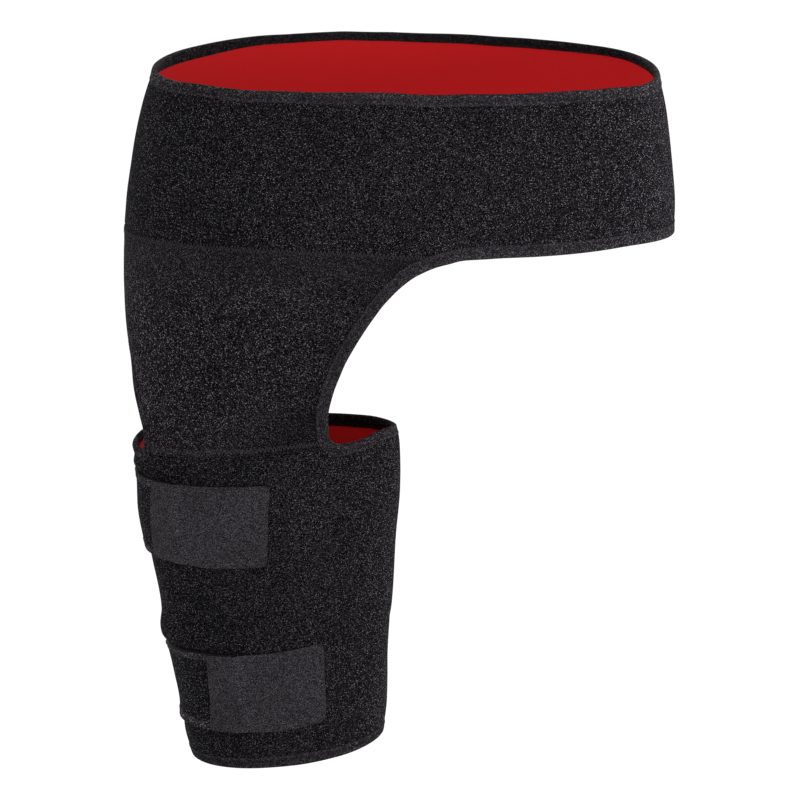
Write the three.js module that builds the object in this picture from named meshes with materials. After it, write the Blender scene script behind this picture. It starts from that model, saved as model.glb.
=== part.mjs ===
// Hip and thigh support brace: a waist belt, a hip panel and a thigh wrap that two hook straps close.
// Millimetres. +Z is up, -Y is the front, and the origin is the middle of the waist belt.
import * as THREE from "three";

// Layers of the cloth, outside to inside
const CLOTH = 2.2;
const GAP = 0.3;
const LINING = 0.8;
const WALL = CLOTH + GAP + LINING;

// Binding tape folded over the cut edges
const TAPE = 0.6;
const EASE = 0.8;
const PROUD = EASE + TAPE;
const REACH = 8;

// Heights of the edges
const BELT_TOP = 58.3;
const BELT_BOTTOM = -58.3;
const WRAP_TOP = -213.2;
const WRAP_BOTTOM = -446.3;

// Rows of facets down the belt and the wrap
const BELT_ROWS = [BELT_TOP, 20, -20, BELT_BOTTOM];
const WRAP_ROWS = [WRAP_TOP, -236, -297, -332, -354, -368.5, -406, WRAP_BOTTOM];

// The thigh wrap goes once round and laps over its own start, angles in degrees
const WRAP_START = -72;
const WRAP_END = 324;
const LAP_END = WRAP_END - 360;
const LAP_RISE = WALL + PROUD + GAP;
const LAP_CLEAR = -32.5;
const RISE_FROM = 215;
const RISE_TO = 285;

// Straps: thickness of the soft tongue and of the hook tab, and where the tongue is sewn on
const TONGUE = 2.8;
const TAB = 1.5;
const STRAP_START = -63;

// Angular steps of the facets
const BELT_STEP = 7.2;
const WRAP_STEP = 9;
const PANEL_COLUMNS = 24;
const STRAP_ROWS = 4;

// Where the binding of the cut-out meets the panel: on the wrap's rim and under the bare side of the belt
const RIM_BACK = { last: 9, corner: 16 };
const RIM_FRONT = 135;
const BELT_BARE = { from: -86.4, to: -252 };

// The form that the outer face of the cloth follows, a row for each height.
// tilt lifts the +X end, saddle lifts the front and back, full rounds out the -X and +X ends.
const FORM = [
  // height, centreX, centreY, halfWidth, front, back, tilt, saddle, fullLeft, fullRight
  [59.5, 4.2, 0, 188.6, 125, 155, -0.007, 6, 0.1, 0.14],
  [38, 3, 0, 194, 127, 157, -0.007, 5.8, 0.08, 0.1],
  [14, 1.8, 0, 198.4, 129, 159, -0.007, 5.5, 0.05, 0.05],
  [-10, 1, 0, 201.6, 131, 160, -0.007, 5.2, 0, 0],
  [-34, 0, 0, 204.2, 132, 161, -0.006, 4.8, 0, 0],
  [-59.5, -1, 0, 205, 133, 162, -0.005, 4.5, 0, -0.1],
  [-74, -2, -0.5, 204.5, 132.5, 161, -0.004, 4, 0, -0.1],
  [-98, -20, -2, 186.3, 121, 143, 0, 3, 0, -0.1],
  [-132, -46, -6, 157.7, 103, 116, 0.03, 1.5, 0, -0.2],
  [-168, -74, -11, 126, 84, 89, 0.06, 0.5, 0, -0.3],
  [-190, -92, -13.6, 107.4, 73, 73, 0.073, 0, 0, -0.35],
  [-203, -100.4, -14.7, 99.2, 69.3, 68.3, 0.077, 0, 0, -0.4],
  [-212, -101.2, -15, 98.4, 67.4, 66.6, 0.077, 0, 0, -0.4],
  [-231, -98.5, -15, 98, 66.5, 66.2, 0.078, 0, 0, -0.35],
  [-262, -96.2, -15, 96.2, 66, 65.8, 0.079, 0, 0, -0.25],
  [-297, -94.3, -15, 91.2, 66, 65, 0.081, 0, 0, -0.15],
  [-332, -92.2, -15, 86.8, 66, 64, 0.084, 0, 0, -0.1],
  [-349, -93.8, -15, 86, 66, 64, 0.085, 0, 0, -0.05],
  [-358, -93.2, -15, 84.8, 66, 64, 0.086, -0.2, 0, 0],
  [-368.5, -90.8, -15, 81.8, 66, 64, 0.087, -0.5, 0, 0],
  [-387, -88.95, -15, 79.7, 66, 64, 0.089, -0.8, 0, 0],
  [-406, -87.2, -15, 77.1, 66, 64, 0.091, -1.2, 0, 0],
  [-447.5, -85.3, -15, 72.2, 66, 64, 0.094, -2.5, 0, 0],
];

// Front edge of the hip panel, the curve of the groin cut-out from the belt down to the wrap
const FRONT_EDGE = [
  // x, height
  [46, -58.3],
  [36, -61],
  [26, -63.8],
  [16, -68.2],
  [6.5, -74.3],
  [-2.5, -81.9],
  [-11, -91.2],
  [-19.5, -102.4],
  [-28, -115.5],
  [-36.5, -130],
  [-44, -145],
  [-50, -161.5],
  [-54, -177.5],
  [-55.4, -190.5],
  [-54.6, -200],
  [-51.2, -208],
  [-43.5, -213.2],
];

// Back edge of the hip panel, from behind the belt round to the outer side of the wrap
const BACK_EDGE = [
  // angle, height
  [-79.2, -58.3],
  [-72, -60],
  [-65.5, -62.6],
  [-59, -66.4],
  [-52.5, -71.4],
  [-46, -77.5],
  [-39, -85.6],
  [-32, -94.8],
  [-25, -105.2],
  [-18, -116.6],
  [-10.5, -130],
  [-3, -144],
  [4.5, -157.5],
  [12, -171.5],
  [19, -186],
  [24.5, -200],
  [22, -213.2],
];

// Edges of the two straps along their length
const UPPER_STRAP = [
  // angle, top, bottom
  [-63, -222, -286],
  [-30, -225, -291],
  [0, -229.5, -296],
  [27.5, -234.5, -296.8],
  [60, -234.8, -297],
  [90, -234.6, -296.6],
];
const LOWER_STRAP = [
  // angle, top, bottom
  [-63, -362, -421],
  [-30, -363.5, -423],
  [0, -364.5, -424],
  [49.5, -364.3, -425],
  [82, -363.5, -424],
  [115, -361.2, -423.7],
];

// Angles where each tab starts, where the tongue under it ends and where the tab ends
const UPPER_ANGLES = { tab: 27.5, tongueEnd: 42, end: 88 };
const LOWER_ANGLES = { tab: 49.5, tongueEnd: 65, end: 114.5 };

// Smooth reading of a table by its first column
function reader(table, sign) {
  const keys = table.map((row) => sign * row[0]);
  const values = table.flatMap((row) => row.slice(1));
  const curve = new THREE.CubicInterpolant(keys, values, table[0].length - 1);
  return (key) => Array.from(curve.evaluate(sign * key));
}

const formRow = reader(FORM, -1);

// A point of the form; angle 0 is the -X side, 90 the front, 180 the +X side, 270 the back
function formPoint(angle, height) {
  const [centreX, centreY, halfWidth, front, back, tilt, saddle, ...full] = formRow(height);
  const turn = THREE.MathUtils.degToRad(angle);
  const side = -Math.cos(turn);
  const face = Math.sin(turn);
  const swell = 1 + full[side < 0 ? 0 : 1] * side ** 4;
  const x = centreX + halfWidth * side;
  const y = centreY - (face > 0 ? front : back) * face * swell;
  return new THREE.Vector3(x, y, height + tilt * (x - centreX) + saddle * face * face);
}

// How the form runs at a point: along the angle and along the height
function slopes(angle, height) {
  const step = 0.05;
  const round = formPoint(angle + step, height).sub(formPoint(angle - step, height));
  const up = formPoint(angle, height + step).sub(formPoint(angle, height - step));
  return { round: round.divideScalar(2 * step), up: up.divideScalar(2 * step) };
}

// A spot of cloth lifted off the form, with its outward normal
function spot(angle, height, lift = 0) {
  const { round, up } = slopes(angle, height);
  const normal = round.cross(up).normalize();
  return { point: formPoint(angle, height).addScaledVector(normal, lift), normal };
}

// The angle on the front of the form at a given x
function angleAt(x, height) {
  const [centreX, , halfWidth] = formRow(height);
  return THREE.MathUtils.radToDeg(Math.acos((centreX - x) / halfWidth));
}

// Angle and height reached by going a distance over the form in a given direction
function stepOver(angle, height, direction, distance) {
  const { round, up } = slopes(angle, height);
  const a = round.dot(round);
  const b = round.dot(up);
  const c = up.dot(up);
  const p = round.dot(direction) * distance;
  const q = up.dot(direction) * distance;
  const scale = a * c - b * b;
  return [angle + (p * c - q * b) / scale, height + (a * q - b * p) / scale];
}

// A closed solid from points and four-sided faces
function solid(points, faces) {
  const geometry = new THREE.BufferGeometry();
  const places = points.flatMap((point) => point.toArray());
  const index = faces.flatMap(([a, b, c, d]) => [a, b, d, b, c, d]);
  geometry.setAttribute("position", new THREE.Float32BufferAttribute(places, 3));
  geometry.setIndex(index);
  geometry.computeVertexNormals();
  return geometry;
}

// A wall between two depths under a grid of spots, rows from the top down, angles rising along a row
function wall(grid, outer, inner, closed) {
  const rows = grid.length;
  const columns = grid[0].length;
  const spans = closed ? columns : columns - 1;
  const points = [];
  for (const depth of [outer, inner]) {
    for (const { point, normal } of grid.flat()) {
      points.push(point.clone().addScaledVector(normal, -depth));
    }
  }
  const at = (layer, j, i) => (layer * rows + j) * columns + (i % columns);
  const faces = [];
  for (let i = 0; i < spans; i += 1) {
    for (let j = 0; j < rows - 1; j += 1) {
      faces.push([at(0, j, i), at(0, j + 1, i), at(0, j + 1, i + 1), at(0, j, i + 1)]);
      faces.push([at(1, j, i), at(1, j, i + 1), at(1, j + 1, i + 1), at(1, j + 1, i)]);
    }
    const end = rows - 1;
    faces.push([at(0, 0, i), at(0, 0, i + 1), at(1, 0, i + 1), at(1, 0, i)]);
    faces.push([at(0, end, i), at(1, end, i), at(1, end, i + 1), at(0, end, i + 1)]);
  }
  if (!closed) {
    const end = columns - 1;
    for (let j = 0; j < rows - 1; j += 1) {
      faces.push([at(0, j, 0), at(1, j, 0), at(1, j + 1, 0), at(0, j + 1, 0)]);
      faces.push([at(0, j, end), at(0, j + 1, end), at(1, j + 1, end), at(1, j, end)]);
    }
  }
  return solid(points, faces);
}

// Binding tape folded over an edge; path rows are angle, height, lift, with the cloth on the
// right-hand side of the way along as seen from outside
function binding(path, closed) {
  const count = path.length;
  const spots = path.map(([angle, height, lift]) => spot(angle, height, lift));
  const points = [];
  path.forEach(([angle, height, lift], k) => {
    const { point, normal } = spots[k];
    const before = closed ? spots[(k + count - 1) % count] : spots[Math.max(k - 1, 0)];
    const after = closed ? spots[(k + 1) % count] : spots[Math.min(k + 1, count - 1)];
    const along = after.point.clone().sub(before.point);
    const inward = along.cross(normal).normalize();
    const margin = spot(...stepOver(angle, height, inward, REACH), lift);
    const edge = (beyond, depth) =>
      point.clone().addScaledVector(inward, -beyond).addScaledVector(normal, -depth);
    const lap = (depth) => margin.point.clone().addScaledVector(margin.normal, -depth);
    points.push(lap(-PROUD), edge(PROUD, -PROUD), edge(PROUD, WALL + PROUD), lap(WALL + PROUD));
    points.push(lap(WALL + EASE), edge(EASE, WALL + EASE), edge(EASE, -EASE), lap(-EASE));
  });
  const faces = [];
  const spans = closed ? count : count - 1;
  for (let k = 0; k < spans; k += 1) {
    const here = k * 8;
    const next = ((k + 1) % count) * 8;
    for (let i = 0; i < 8; i += 1) {
      const j = (i + 1) % 8;
      faces.push([here + i, next + i, next + j, here + j]);
    }
  }
  if (!closed) {
    const end = (count - 1) * 8;
    for (const [a, b, c, d] of [[0, 1, 6, 7], [1, 2, 5, 6], [2, 3, 4, 5]]) {
      faces.push([a, b, c, d]);
      faces.push([end + d, end + c, end + b, end + a]);
    }
  }
  return solid(points, faces);
}

// Evenly spaced numbers, both ends included
function steps(from, to, step) {
  const count = Math.round(Math.abs(to - from) / step);
  return Array.from({ length: count + 1 }, (_, k) => from + ((to - from) * k) / count);
}

// Straight-line reading of pairs
function between(pairs, key) {
  const k = Math.max(1, pairs.findIndex(([place]) => key <= place));
  const [low, high] = [pairs[k - 1], pairs[k]];
  const share = THREE.MathUtils.clamp((key - low[0]) / (high[0] - low[0]), 0, 1);
  return low[1] + (high[1] - low[1]) * share;
}

// Pieces with their colours
const brace = new THREE.Group();
brace.name = "hip_thigh_brace";
const LOOKS = {
  pile: { color: 0x222023, roughness: 0.95, metalness: 0 },
  lining: { color: 0xa4191c, roughness: 0.8, metalness: 0 },
  tape: { color: 0x2c292c, roughness: 0.8, metalness: 0 },
  hook: { color: 0x323033, roughness: 0.7, metalness: 0 },
};
function add(name, look, geometry) {
  const mesh = new THREE.Mesh(geometry, new THREE.MeshStandardMaterial(LOOKS[look]));
  mesh.name = name;
  brace.add(mesh);
}

// Waist belt, a closed loop that flares a little towards the hips
const beltAngles = steps(0, 360 - BELT_STEP, BELT_STEP);
const beltGrid = BELT_ROWS.map((height) => beltAngles.map((angle) => spot(angle, height)));
add("waist_belt", "pile", wall(beltGrid, 0, CLOTH, true));
add("waist_lining", "lining", wall(beltGrid, CLOTH + GAP, WALL, true));
add("waist_top_binding", "tape", binding(beltAngles.map((angle) => [angle, BELT_TOP, 0]), true));

// Hip panel, sewn edge to edge to the belt above and to the wrap below
const frontEdge = FRONT_EDGE.map(([x, height]) => [angleAt(x, height), height]);
const panelRows = frontEdge.length - 1;
const panelGrid = frontEdge.map((front, j) => {
  const back = BACK_EDGE[j];
  const seam = (j === 0 ? -GAP : 0) + (j === panelRows ? GAP : 0);
  return steps(0, 1, 1 / PANEL_COLUMNS).map((share) =>
    spot(back[0] + (front[0] - back[0]) * share, back[1] + (front[1] - back[1]) * share + seam));
});
add("hip_panel", "pile", wall(panelGrid, 0, CLOTH, false));
add("hip_lining", "lining", wall(panelGrid, CLOTH + GAP, WALL, false));

// Thigh wrap, rising over its own start at the back
const wrapRise = (angle) => LAP_RISE * THREE.MathUtils.smoothstep(angle, RISE_FROM, RISE_TO);
const wrapAngles = steps(WRAP_START, WRAP_END, WRAP_STEP);
const wrapGrid = WRAP_ROWS.map((height) =>
  wrapAngles.map((angle) => spot(angle, height, wrapRise(angle))));
add("thigh_wrap", "pile", wall(wrapGrid, 0, CLOTH, false));
add("thigh_lining", "lining", wall(wrapGrid, CLOTH + GAP, WALL, false));

// One binding runs round the whole cut-out: wrap top, panel back, belt bottom, panel front, wrap top
const afterLap = LAP_END + WRAP_STEP;
const rimBack = [LAP_CLEAR, ...steps(afterLap, RIM_BACK.last, WRAP_STEP), RIM_BACK.corner];
const cutOut = [
  ...rimBack.map((angle) => [angle, WRAP_TOP, 0]),
  ...BACK_EDGE.toReversed().map(([angle, height]) => [angle, height, 0]),
  ...steps(BELT_BARE.from, BELT_BARE.to, BELT_STEP).map((angle) => [angle, BELT_BOTTOM, 0]),
  ...frontEdge.map(([angle, height]) => [angle, height, 0]),
  ...steps(RIM_FRONT, WRAP_END, WRAP_STEP).map((angle) => [angle, WRAP_TOP, wrapRise(angle)]),
];
add("cut_out_binding", "tape", binding(cutOut, false));
const hem = [...steps(WRAP_END, afterLap, WRAP_STEP), LAP_CLEAR];
const hemPath = hem.map((angle) => [angle, WRAP_BOTTOM, wrapRise(angle)]);
add("thigh_bottom_binding", "tape", binding(hemPath, false));
const END_MARGIN = REACH + PROUD + GAP;
const endHeights = [WRAP_TOP - END_MARGIN, ...WRAP_ROWS.slice(1, -1), WRAP_BOTTOM + END_MARGIN];
const endPath = endHeights.map((height) => [WRAP_END, height, LAP_RISE]);
add("thigh_end_binding", "tape", binding(endPath, false));

// Straps: a soft tongue sewn to the wrap's end, and a hook tab sewn onto the tongue
const FAR_ROUND = 200;
const overBinding = LAP_RISE + PROUD + GAP;
const TONGUE_LIFTS = [
  // angle, lift of the tongue's inner face
  [STRAP_START, LAP_RISE + GAP],
  [LAP_END - 12, LAP_RISE + GAP],
  [LAP_END - 7, overBinding],
  [LAP_END + 1.5, overBinding],
  [LAP_END + 20, GAP],
  [FAR_ROUND, GAP],
];
function strap(name, edges, angles) {
  const { tab, tongueEnd, end } = angles;
  const edgeAt = reader(edges, 1);
  const sheet = (stops, lifts) => steps(0, 1, 1 / STRAP_ROWS).map((share) =>
    stops.toSorted((a, b) => a - b).map((angle) => {
      const [top, bottom] = edgeAt(angle);
      return spot(angle, top + (bottom - top) * share, between(lifts, angle));
    }));
  const wrapStops = steps(STRAP_START, STRAP_START + 24 * WRAP_STEP, WRAP_STEP);

  const tongueStops = wrapStops.filter((angle) => angle < tongueEnd - 3);
  tongueStops.push(...TONGUE_LIFTS.slice(1, -1).map(([angle]) => angle), tongueEnd);
  add(name + "_strap", "pile", wall(sheet(tongueStops, TONGUE_LIFTS), -TONGUE, 0, false));

  const onTongue = GAP + TONGUE + GAP;
  const stepDown = [tongueEnd + 0.6, tongueEnd + 6];
  const tabLifts = [
    // angle, lift of the tab's inner face
    [tab, onTongue],
    [stepDown[0], onTongue],
    [stepDown[1], GAP],
    [FAR_ROUND, GAP],
  ];
  const tabStops = wrapStops.filter((angle) => angle > tab + 2 && angle < end - 2);
  tabStops.push(tab, ...stepDown, end);
  add(name + "_hook_tab", "hook", wall(sheet(tabStops, tabLifts), -TAB, 0, false));
}
strap("upper", UPPER_STRAP, UPPER_ANGLES);
strap("lower", LOWER_STRAP, LOWER_ANGLES);

export default brace;
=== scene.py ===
# %% [markdown]
# # A hip and thigh support brace
# The brace is sewn from flat foam cloth: a belt round the waist, a panel down the hip and a wrap round
# the thigh, with a red lining, folded tape on every cut edge and two straps with hook tabs.
# This lesson dresses the plain solids of the frame. Each piece is cut as a flat grid, laid on one shared
# form, given its thickness, sewn and coloured. Sizes in the tables are millimetres, Blender's are metres.

# %% Open the frame
import math

import bmesh
import bpy
import numpy as np
from mathutils import Matrix, Vector


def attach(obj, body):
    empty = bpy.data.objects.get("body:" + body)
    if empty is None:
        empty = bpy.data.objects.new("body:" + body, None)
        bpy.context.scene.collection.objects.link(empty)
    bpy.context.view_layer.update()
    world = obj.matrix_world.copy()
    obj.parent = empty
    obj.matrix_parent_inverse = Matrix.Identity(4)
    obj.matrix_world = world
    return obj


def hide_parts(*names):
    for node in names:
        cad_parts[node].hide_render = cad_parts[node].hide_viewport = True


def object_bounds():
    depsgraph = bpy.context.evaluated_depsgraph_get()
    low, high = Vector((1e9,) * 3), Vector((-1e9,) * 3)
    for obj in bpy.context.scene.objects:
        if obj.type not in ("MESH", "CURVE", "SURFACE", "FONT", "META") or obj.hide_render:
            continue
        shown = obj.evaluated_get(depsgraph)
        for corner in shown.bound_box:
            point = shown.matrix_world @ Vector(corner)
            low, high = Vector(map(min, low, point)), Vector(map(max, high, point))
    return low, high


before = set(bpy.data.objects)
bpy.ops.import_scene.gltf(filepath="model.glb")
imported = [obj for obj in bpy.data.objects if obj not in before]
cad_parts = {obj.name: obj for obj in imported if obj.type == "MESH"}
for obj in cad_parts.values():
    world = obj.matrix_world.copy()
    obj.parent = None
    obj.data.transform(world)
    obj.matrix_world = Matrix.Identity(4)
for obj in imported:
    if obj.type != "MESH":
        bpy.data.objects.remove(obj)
cad_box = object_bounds()
print("frame nodes:", sorted(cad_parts))
print("CAD box:", [round(x, 4) for corner in cad_box for x in corner])

# %% [markdown]
# ## The form that all the cloth lies on
# Worn cloth follows the body, so every piece shares one form: ovals stacked from the belt's top to the
# foot of the wrap. Each table row is one oval. One could sculpt it, but a table keeps neighbouring
# pieces exactly edge to edge, and a row can be changed while the seams still meet.
# Angle 0 is the outer side at -X, 90 is the front, 180 is +X and 270 is the back.

# %% Sections of the form
MM = 0.001
FORM = [
    # height, centre x, centre y, half width, front, back, tilt, saddle, full left, full right
    (59.5, 4.2, 0, 188.6, 125, 155, -0.007, 6, 0.1, 0.14),
    (38, 3.3, 0, 194.4, 127, 157, -0.007, 5.8, 0.08, 0.1),
    (14, 2.2, 0, 198.8, 129, 159, -0.007, 5.5, 0.05, 0.05),
    (-10, 1.4, 0, 202, 131, 160, -0.007, 5.2, 0, 0),
    (-34, 0.4, 0, 204.6, 132, 161, -0.006, 4.8, 0, 0),
    (-59.5, -1, 0, 205, 133, 162, -0.005, 4.5, 0, -0.1),
    (-74, -2, -0.5, 204.5, 132.5, 161, -0.004, 4, 0, -0.1),
    (-98, -20, -2, 186.3, 121, 143, 0, 3, 0, -0.1),
    (-132, -46, -6, 157.7, 103, 116, 0.03, 1.5, 0, -0.2),
    (-152, -60.75, -8.8, 139.35, 92.5, 101, 0.046, 0.9, 0, -0.25),
    (-168, -74, -11, 126, 84, 89, 0.06, 0.5, 0, -0.3),
    (-190, -92, -13.6, 107.4, 73, 73, 0.073, 0, 0, -0.35),
    (-203, -101.2, -14.7, 98.4, 69.3, 68.3, 0.077, 0, 0, -0.4),
    (-212, -101.5, -15, 98.1, 67.4, 66.6, 0.077, 0, 0, -0.4),
    (-219, -99.6, -15, 98.5, 67, 66.4, 0.077, 0, 0, -0.4),
    (-231, -97.55, -15, 97.55, 66.5, 66.2, 0.078, 0, 0, -0.35),
    (-262, -96.7, -15, 96.7, 66, 65.8, 0.079, 0, 0, -0.25),
    (-297, -94.8, -15, 91.7, 66, 65, 0.081, 0, 0, -0.15),
    (-337, -92.2, -15, 87.2, 66, 64, 0.084, 0, 0, -0.1),
    (-351, -93.25, -15, 87.05, 66, 64, 0.085, 0, 0, -0.05),
    (-358, -92.75, -15, 85.35, 66, 64, 0.086, -0.2, 0, 0),
    (-362, -90.5, -15, 82.9, 66, 64, 0.086, -0.3, 0, 0),
    (-368.5, -89.65, -15, 81.55, 66, 64, 0.087, -0.5, 0, 0),
    (-387, -88.1, -15, 78.9, 66, 64, 0.089, -0.8, 0, 0),
    (-406, -86.4, -15, 76.9, 66, 64, 0.091, -1.2, 0, 0),
    (-430, -86.4, -15, 75.8, 66, 64, 0.093, -1.8, 0, 0),
    (-447.5, -85.4, -15, 72.1, 66, 64, 0.094, -2.5, 0, 0),
    (-456, -85.6, -15, 70, 66, 64, 0.094, -2.8, 0, 0),
]
print("form:", len(FORM), "ovals from", FORM[0][0], "down to", FORM[-1][0], "mm")

# %% [markdown]
# ## Reading a table along a smooth curve
# A maker draws one fair curve through a few measured places. This helper does the same for any table: it
# joins two neighbouring rows with a cubic that keeps the slope on both sides. Straight steps from row to
# row would show as creases in the cloth.

# %% Smooth reader
def smooth_reader(table):
    """Reads a table by its first column along a smooth curve through its rows."""
    rows = np.array(sorted(table), float)
    keys, values = rows[:, 0], rows[:, 1:]
    secants = np.diff(values, axis=0) / np.diff(keys)[:, None]
    slopes = np.vstack([secants[:1], (secants[1:] + secants[:-1]) / 2, secants[-1:]])

    def read(key):
        key = np.asarray(key, float)
        k = np.clip(np.searchsorted(keys, key) - 1, 0, len(keys) - 2)
        span = (keys[k + 1] - keys[k])[..., None]
        t = (key - keys[k])[..., None] / span
        rise = t * t * (3 - 2 * t)
        ends = values[k] * (1 - rise) + values[k + 1] * rise
        return ends + span * t * (1 - t) * (slopes[k] * (1 - t) - slopes[k + 1] * t)

    return read


form_row = smooth_reader(FORM)
print("half width at the waist:", form_row(0.0)[2].round(1), "mm")

# %% [markdown]
# ## Places on the form
# Every piece is placed by an angle round the body, a height and a lift off the form. These helpers turn
# the three into a point with its outward normal. They also step a distance over the cloth, as one measures
# in from an edge with a rule.

# %% Points and ways on the form
def form_point(angle, height):
    """Points of the form for angles in degrees and heights."""
    columns = np.moveaxis(form_row(height), -1, 0)
    centre_x, centre_y, half, front, back, tilt, saddle, full_left, full_right = columns
    side, face = -np.cos(np.radians(angle)), np.sin(np.radians(angle))
    swell = 1 + np.where(side < 0, full_left, full_right) * side**4
    x = centre_x + half * side
    y = centre_y - np.where(face > 0, front, back) * face * swell
    return np.stack([x, y, height + tilt * (x - centre_x) + saddle * face**2], -1)


def ways(angle, height, step=0.05):
    """How the form runs at a point, for each degree of angle and each millimetre of height."""
    round_it = form_point(angle + step, height) - form_point(angle - step, height)
    up = form_point(angle, height + step) - form_point(angle, height - step)
    return round_it / (2 * step), up / (2 * step)


def unit(vectors):
    """Vectors at a length of one."""
    return vectors / np.linalg.norm(vectors, axis=-1, keepdims=True)


HEM_CURL, HEM_CURL_FROM, FOOT = 1.2, 9.0, -450.0


def hem_curl(height):
    """The foot of the wrap draws in towards the leg over its last millimetres."""
    share = np.clip(1 - (height - FOOT) / HEM_CURL_FROM, 0, 1.1)
    return HEM_CURL * share**2


def spot(angle, height, lift=0.0):
    """Points lifted off the form, with their outward normals."""
    places = (np.asarray(x, float) for x in (angle, height, lift))
    angle, height, lift = np.broadcast_arrays(*places)
    normal = unit(np.cross(*ways(angle, height)))
    return form_point(angle, height) + normal * (lift - hem_curl(height))[..., None], normal


def step_over(angle, height, direction, distance):
    """The angle and height reached by going a distance over the form."""
    round_it, up = ways(angle, height)
    a, b, c = (round_it * round_it).sum(-1), (round_it * up).sum(-1), (up * up).sum(-1)
    p, q = (round_it * direction).sum(-1) * distance, (up * direction).sum(-1) * distance
    scale = a * c - b * b
    return angle + (p * c - q * b) / scale, height + (a * q - b * p) / scale


print("front of the waist at", form_point(90.0, 0.0).round(1), "mm")

# %% [markdown]
# ## Layers and edges
# The cloth is a laminate: black looped pile on thin foam outside and a red knit inside. The tape is
# folded over the laminate and bulges where it turns, so the cloth stops a little short of the fold.
# The plain cut is the frame's own, only the tape is thinner: sewn tape sinks into the foam. It reaches a
# little further over the belt and the panel than over the rim of the wrap. The hip panel's two edges are
# tables with matching rows, so that a share between them is a place on the panel.

# %% Sizes shared by all the pieces
CLOTH, GAP, LINING = 2.2, 0.3, 0.8
WALL = CLOTH + GAP + LINING
TAPE, EASE, PROUD = 0.4, 0.5, 1.4
REACH, WIDE_REACH, NARROW_REACH = 8.0, 9.2, 6.8
TUCK = 1.0
BELT_TOP, BELT_BOTTOM = 58.3, -58.3
WRAP_TOP, WRAP_BOTTOM = -213.2, -446.3
WRAP_START, WRAP_END = -72.0, 324.0
LAP_END = WRAP_END - 360
LAP_RISE = WALL + PROUD + GAP
CLIMB = (215, 285)
FRONT_EDGE = [
    # x, height, from the belt down to the wrap
    (46, -60.8), (36, -63.1), (26, -65.6), (16.5, -69.5),
    (8, -74.3), (-1, -81.9), (-9.6, -91.2), (-18.1, -102.4),
    (-26.7, -115.5), (-35.1, -130), (-42.4, -145), (-48.4, -161.5), (-52.4, -177.5), (-53.7, -190.5),
    (-53.3, -200), (-51.6, -208.4), (-45.5, -212.8),
]
BACK_EDGE = [
    # angle, height, from the belt down to the wrap
    (-79.2, -58.3), (-72, -60), (-65.5, -62.6), (-59, -66.4), (-52.5, -71.4), (-46, -77.5),
    (-39, -85.6), (-32, -94.8), (-25, -105.2), (-18, -116.6), (-10.5, -130), (-3, -144),
    (4.5, -157.5), (12, -171.5), (19, -186), (24.5, -200), (22, -213.2),
]


def angle_at(x, height):
    """The angle on the front of the form at a given x."""
    row = form_row(height)
    return math.degrees(math.acos((row[0] - x) / row[2]))


def numbered(rows):
    """Rows with their place in the list as the first column, to read them along a smooth curve."""
    return [(k, *row) for k, row in enumerate(rows)]


front_rows = [(angle_at(x, height), height) for x, height in FRONT_EDGE]
front_at, back_at = smooth_reader(numbered(front_rows)), smooth_reader(numbered(BACK_EDGE))
PANEL_ROWS = len(FRONT_EDGE) - 1


def ramp(x, low, high):
    """Eases from 0 at low to 1 at high."""
    t = np.clip((np.asarray(x, float) - low) / (high - low), 0, 1)
    return t * t * (3 - 2 * t)


def wrap_rise(angle):
    """How far the wrap stands off the form; behind the leg it climbs over its own start."""
    return LAP_RISE * ramp(angle, *CLIMB)


print("panel edges:", PANEL_ROWS + 1, "rows each; laminate", WALL, "mm thick")

# %% [markdown]
# ## Worn edges
# Soft cloth that was bound by hand doesn't keep a plain cut. The rim of the wrap stands up behind the hip,
# its foot hangs a little and the belt's edges settle unevenly. Short tables of small rises, read along a
# smooth curve, give each edge its own run. Noise would be quicker, but it wouldn't put the dips where the
# brace has them.

# %% Rises and drops of the edges
RIM = smooth_reader([
    # angle, rise of the wrap's top edge: it stands up behind the hip and dips beside the groin
    (-72, 4.5), (-45, 6.5), (-30, 7.4), (-20, 7), (-10, 4.8),
    (0, 2.6), (10, 1.2), (20, 0.3), (28, 0), (60, 0),
    (105, 0), (118, 0), (126, 0.1), (134, -0.5), (140, -0.2),
    (146, 0.9), (153, 1.8), (162, 1.9), (172, 1.7),
    (190, 1.6), (202, 2.2), (213, 2.5), (230, 1.6), (245, 1.3), (270, 2.2), (300, 5), (324, 6.9),
])
HEM_DROP = smooth_reader([
    # angle, how far the wrap's foot hangs under its plain cut
    (-72, 3.5), (-30, 3.8), (0, 4), (30, 4), (60, 3), (85, 2), (98, 2), (113, 1.8), (130, 1.8), (148, 1.2),
    (160, 0.6), (170, 0.2), (180, 0.4), (200, 1.6), (240, 2.4), (290, 3.4), (324, 3.6),
])
BELT_RIM = smooth_reader([
    # angle, rise of the belt's top edge, which was bound by hand and has settled unevenly
    (0, 3.6), (8, 3.2), (16, 3), (27, 2.4), (36, 2.6), (45, 1.4),
    (52, 0.2), (62, 0.2), (70, 0.5), (76, 1.4), (86, 1.4),
    (91, 0.2), (96, -0.7), (103, -0.2), (112, 0), (122, 0.5),
    (131, 1.5), (138, 1.9), (146, 2.2), (153, 0.9), (162, 0.5),
    (172, 2.2), (180, 3.4), (188, 4.2), (198, 4.4), (206, 4.4),
    (216, 3.4), (222, 2.5), (236, 1.8), (242, 1.4), (248, 0.4),
    (255, -0.1), (262, -0.5), (268, -0.2), (273, 0.8), (279, 1.4),
    (284, 2.3), (290, 2.4), (299, 2.9), (305, 3.8),
    (325, 3.9), (336, 5), (344, 5), (352, 4.3), (360, 3.6),
])
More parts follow.
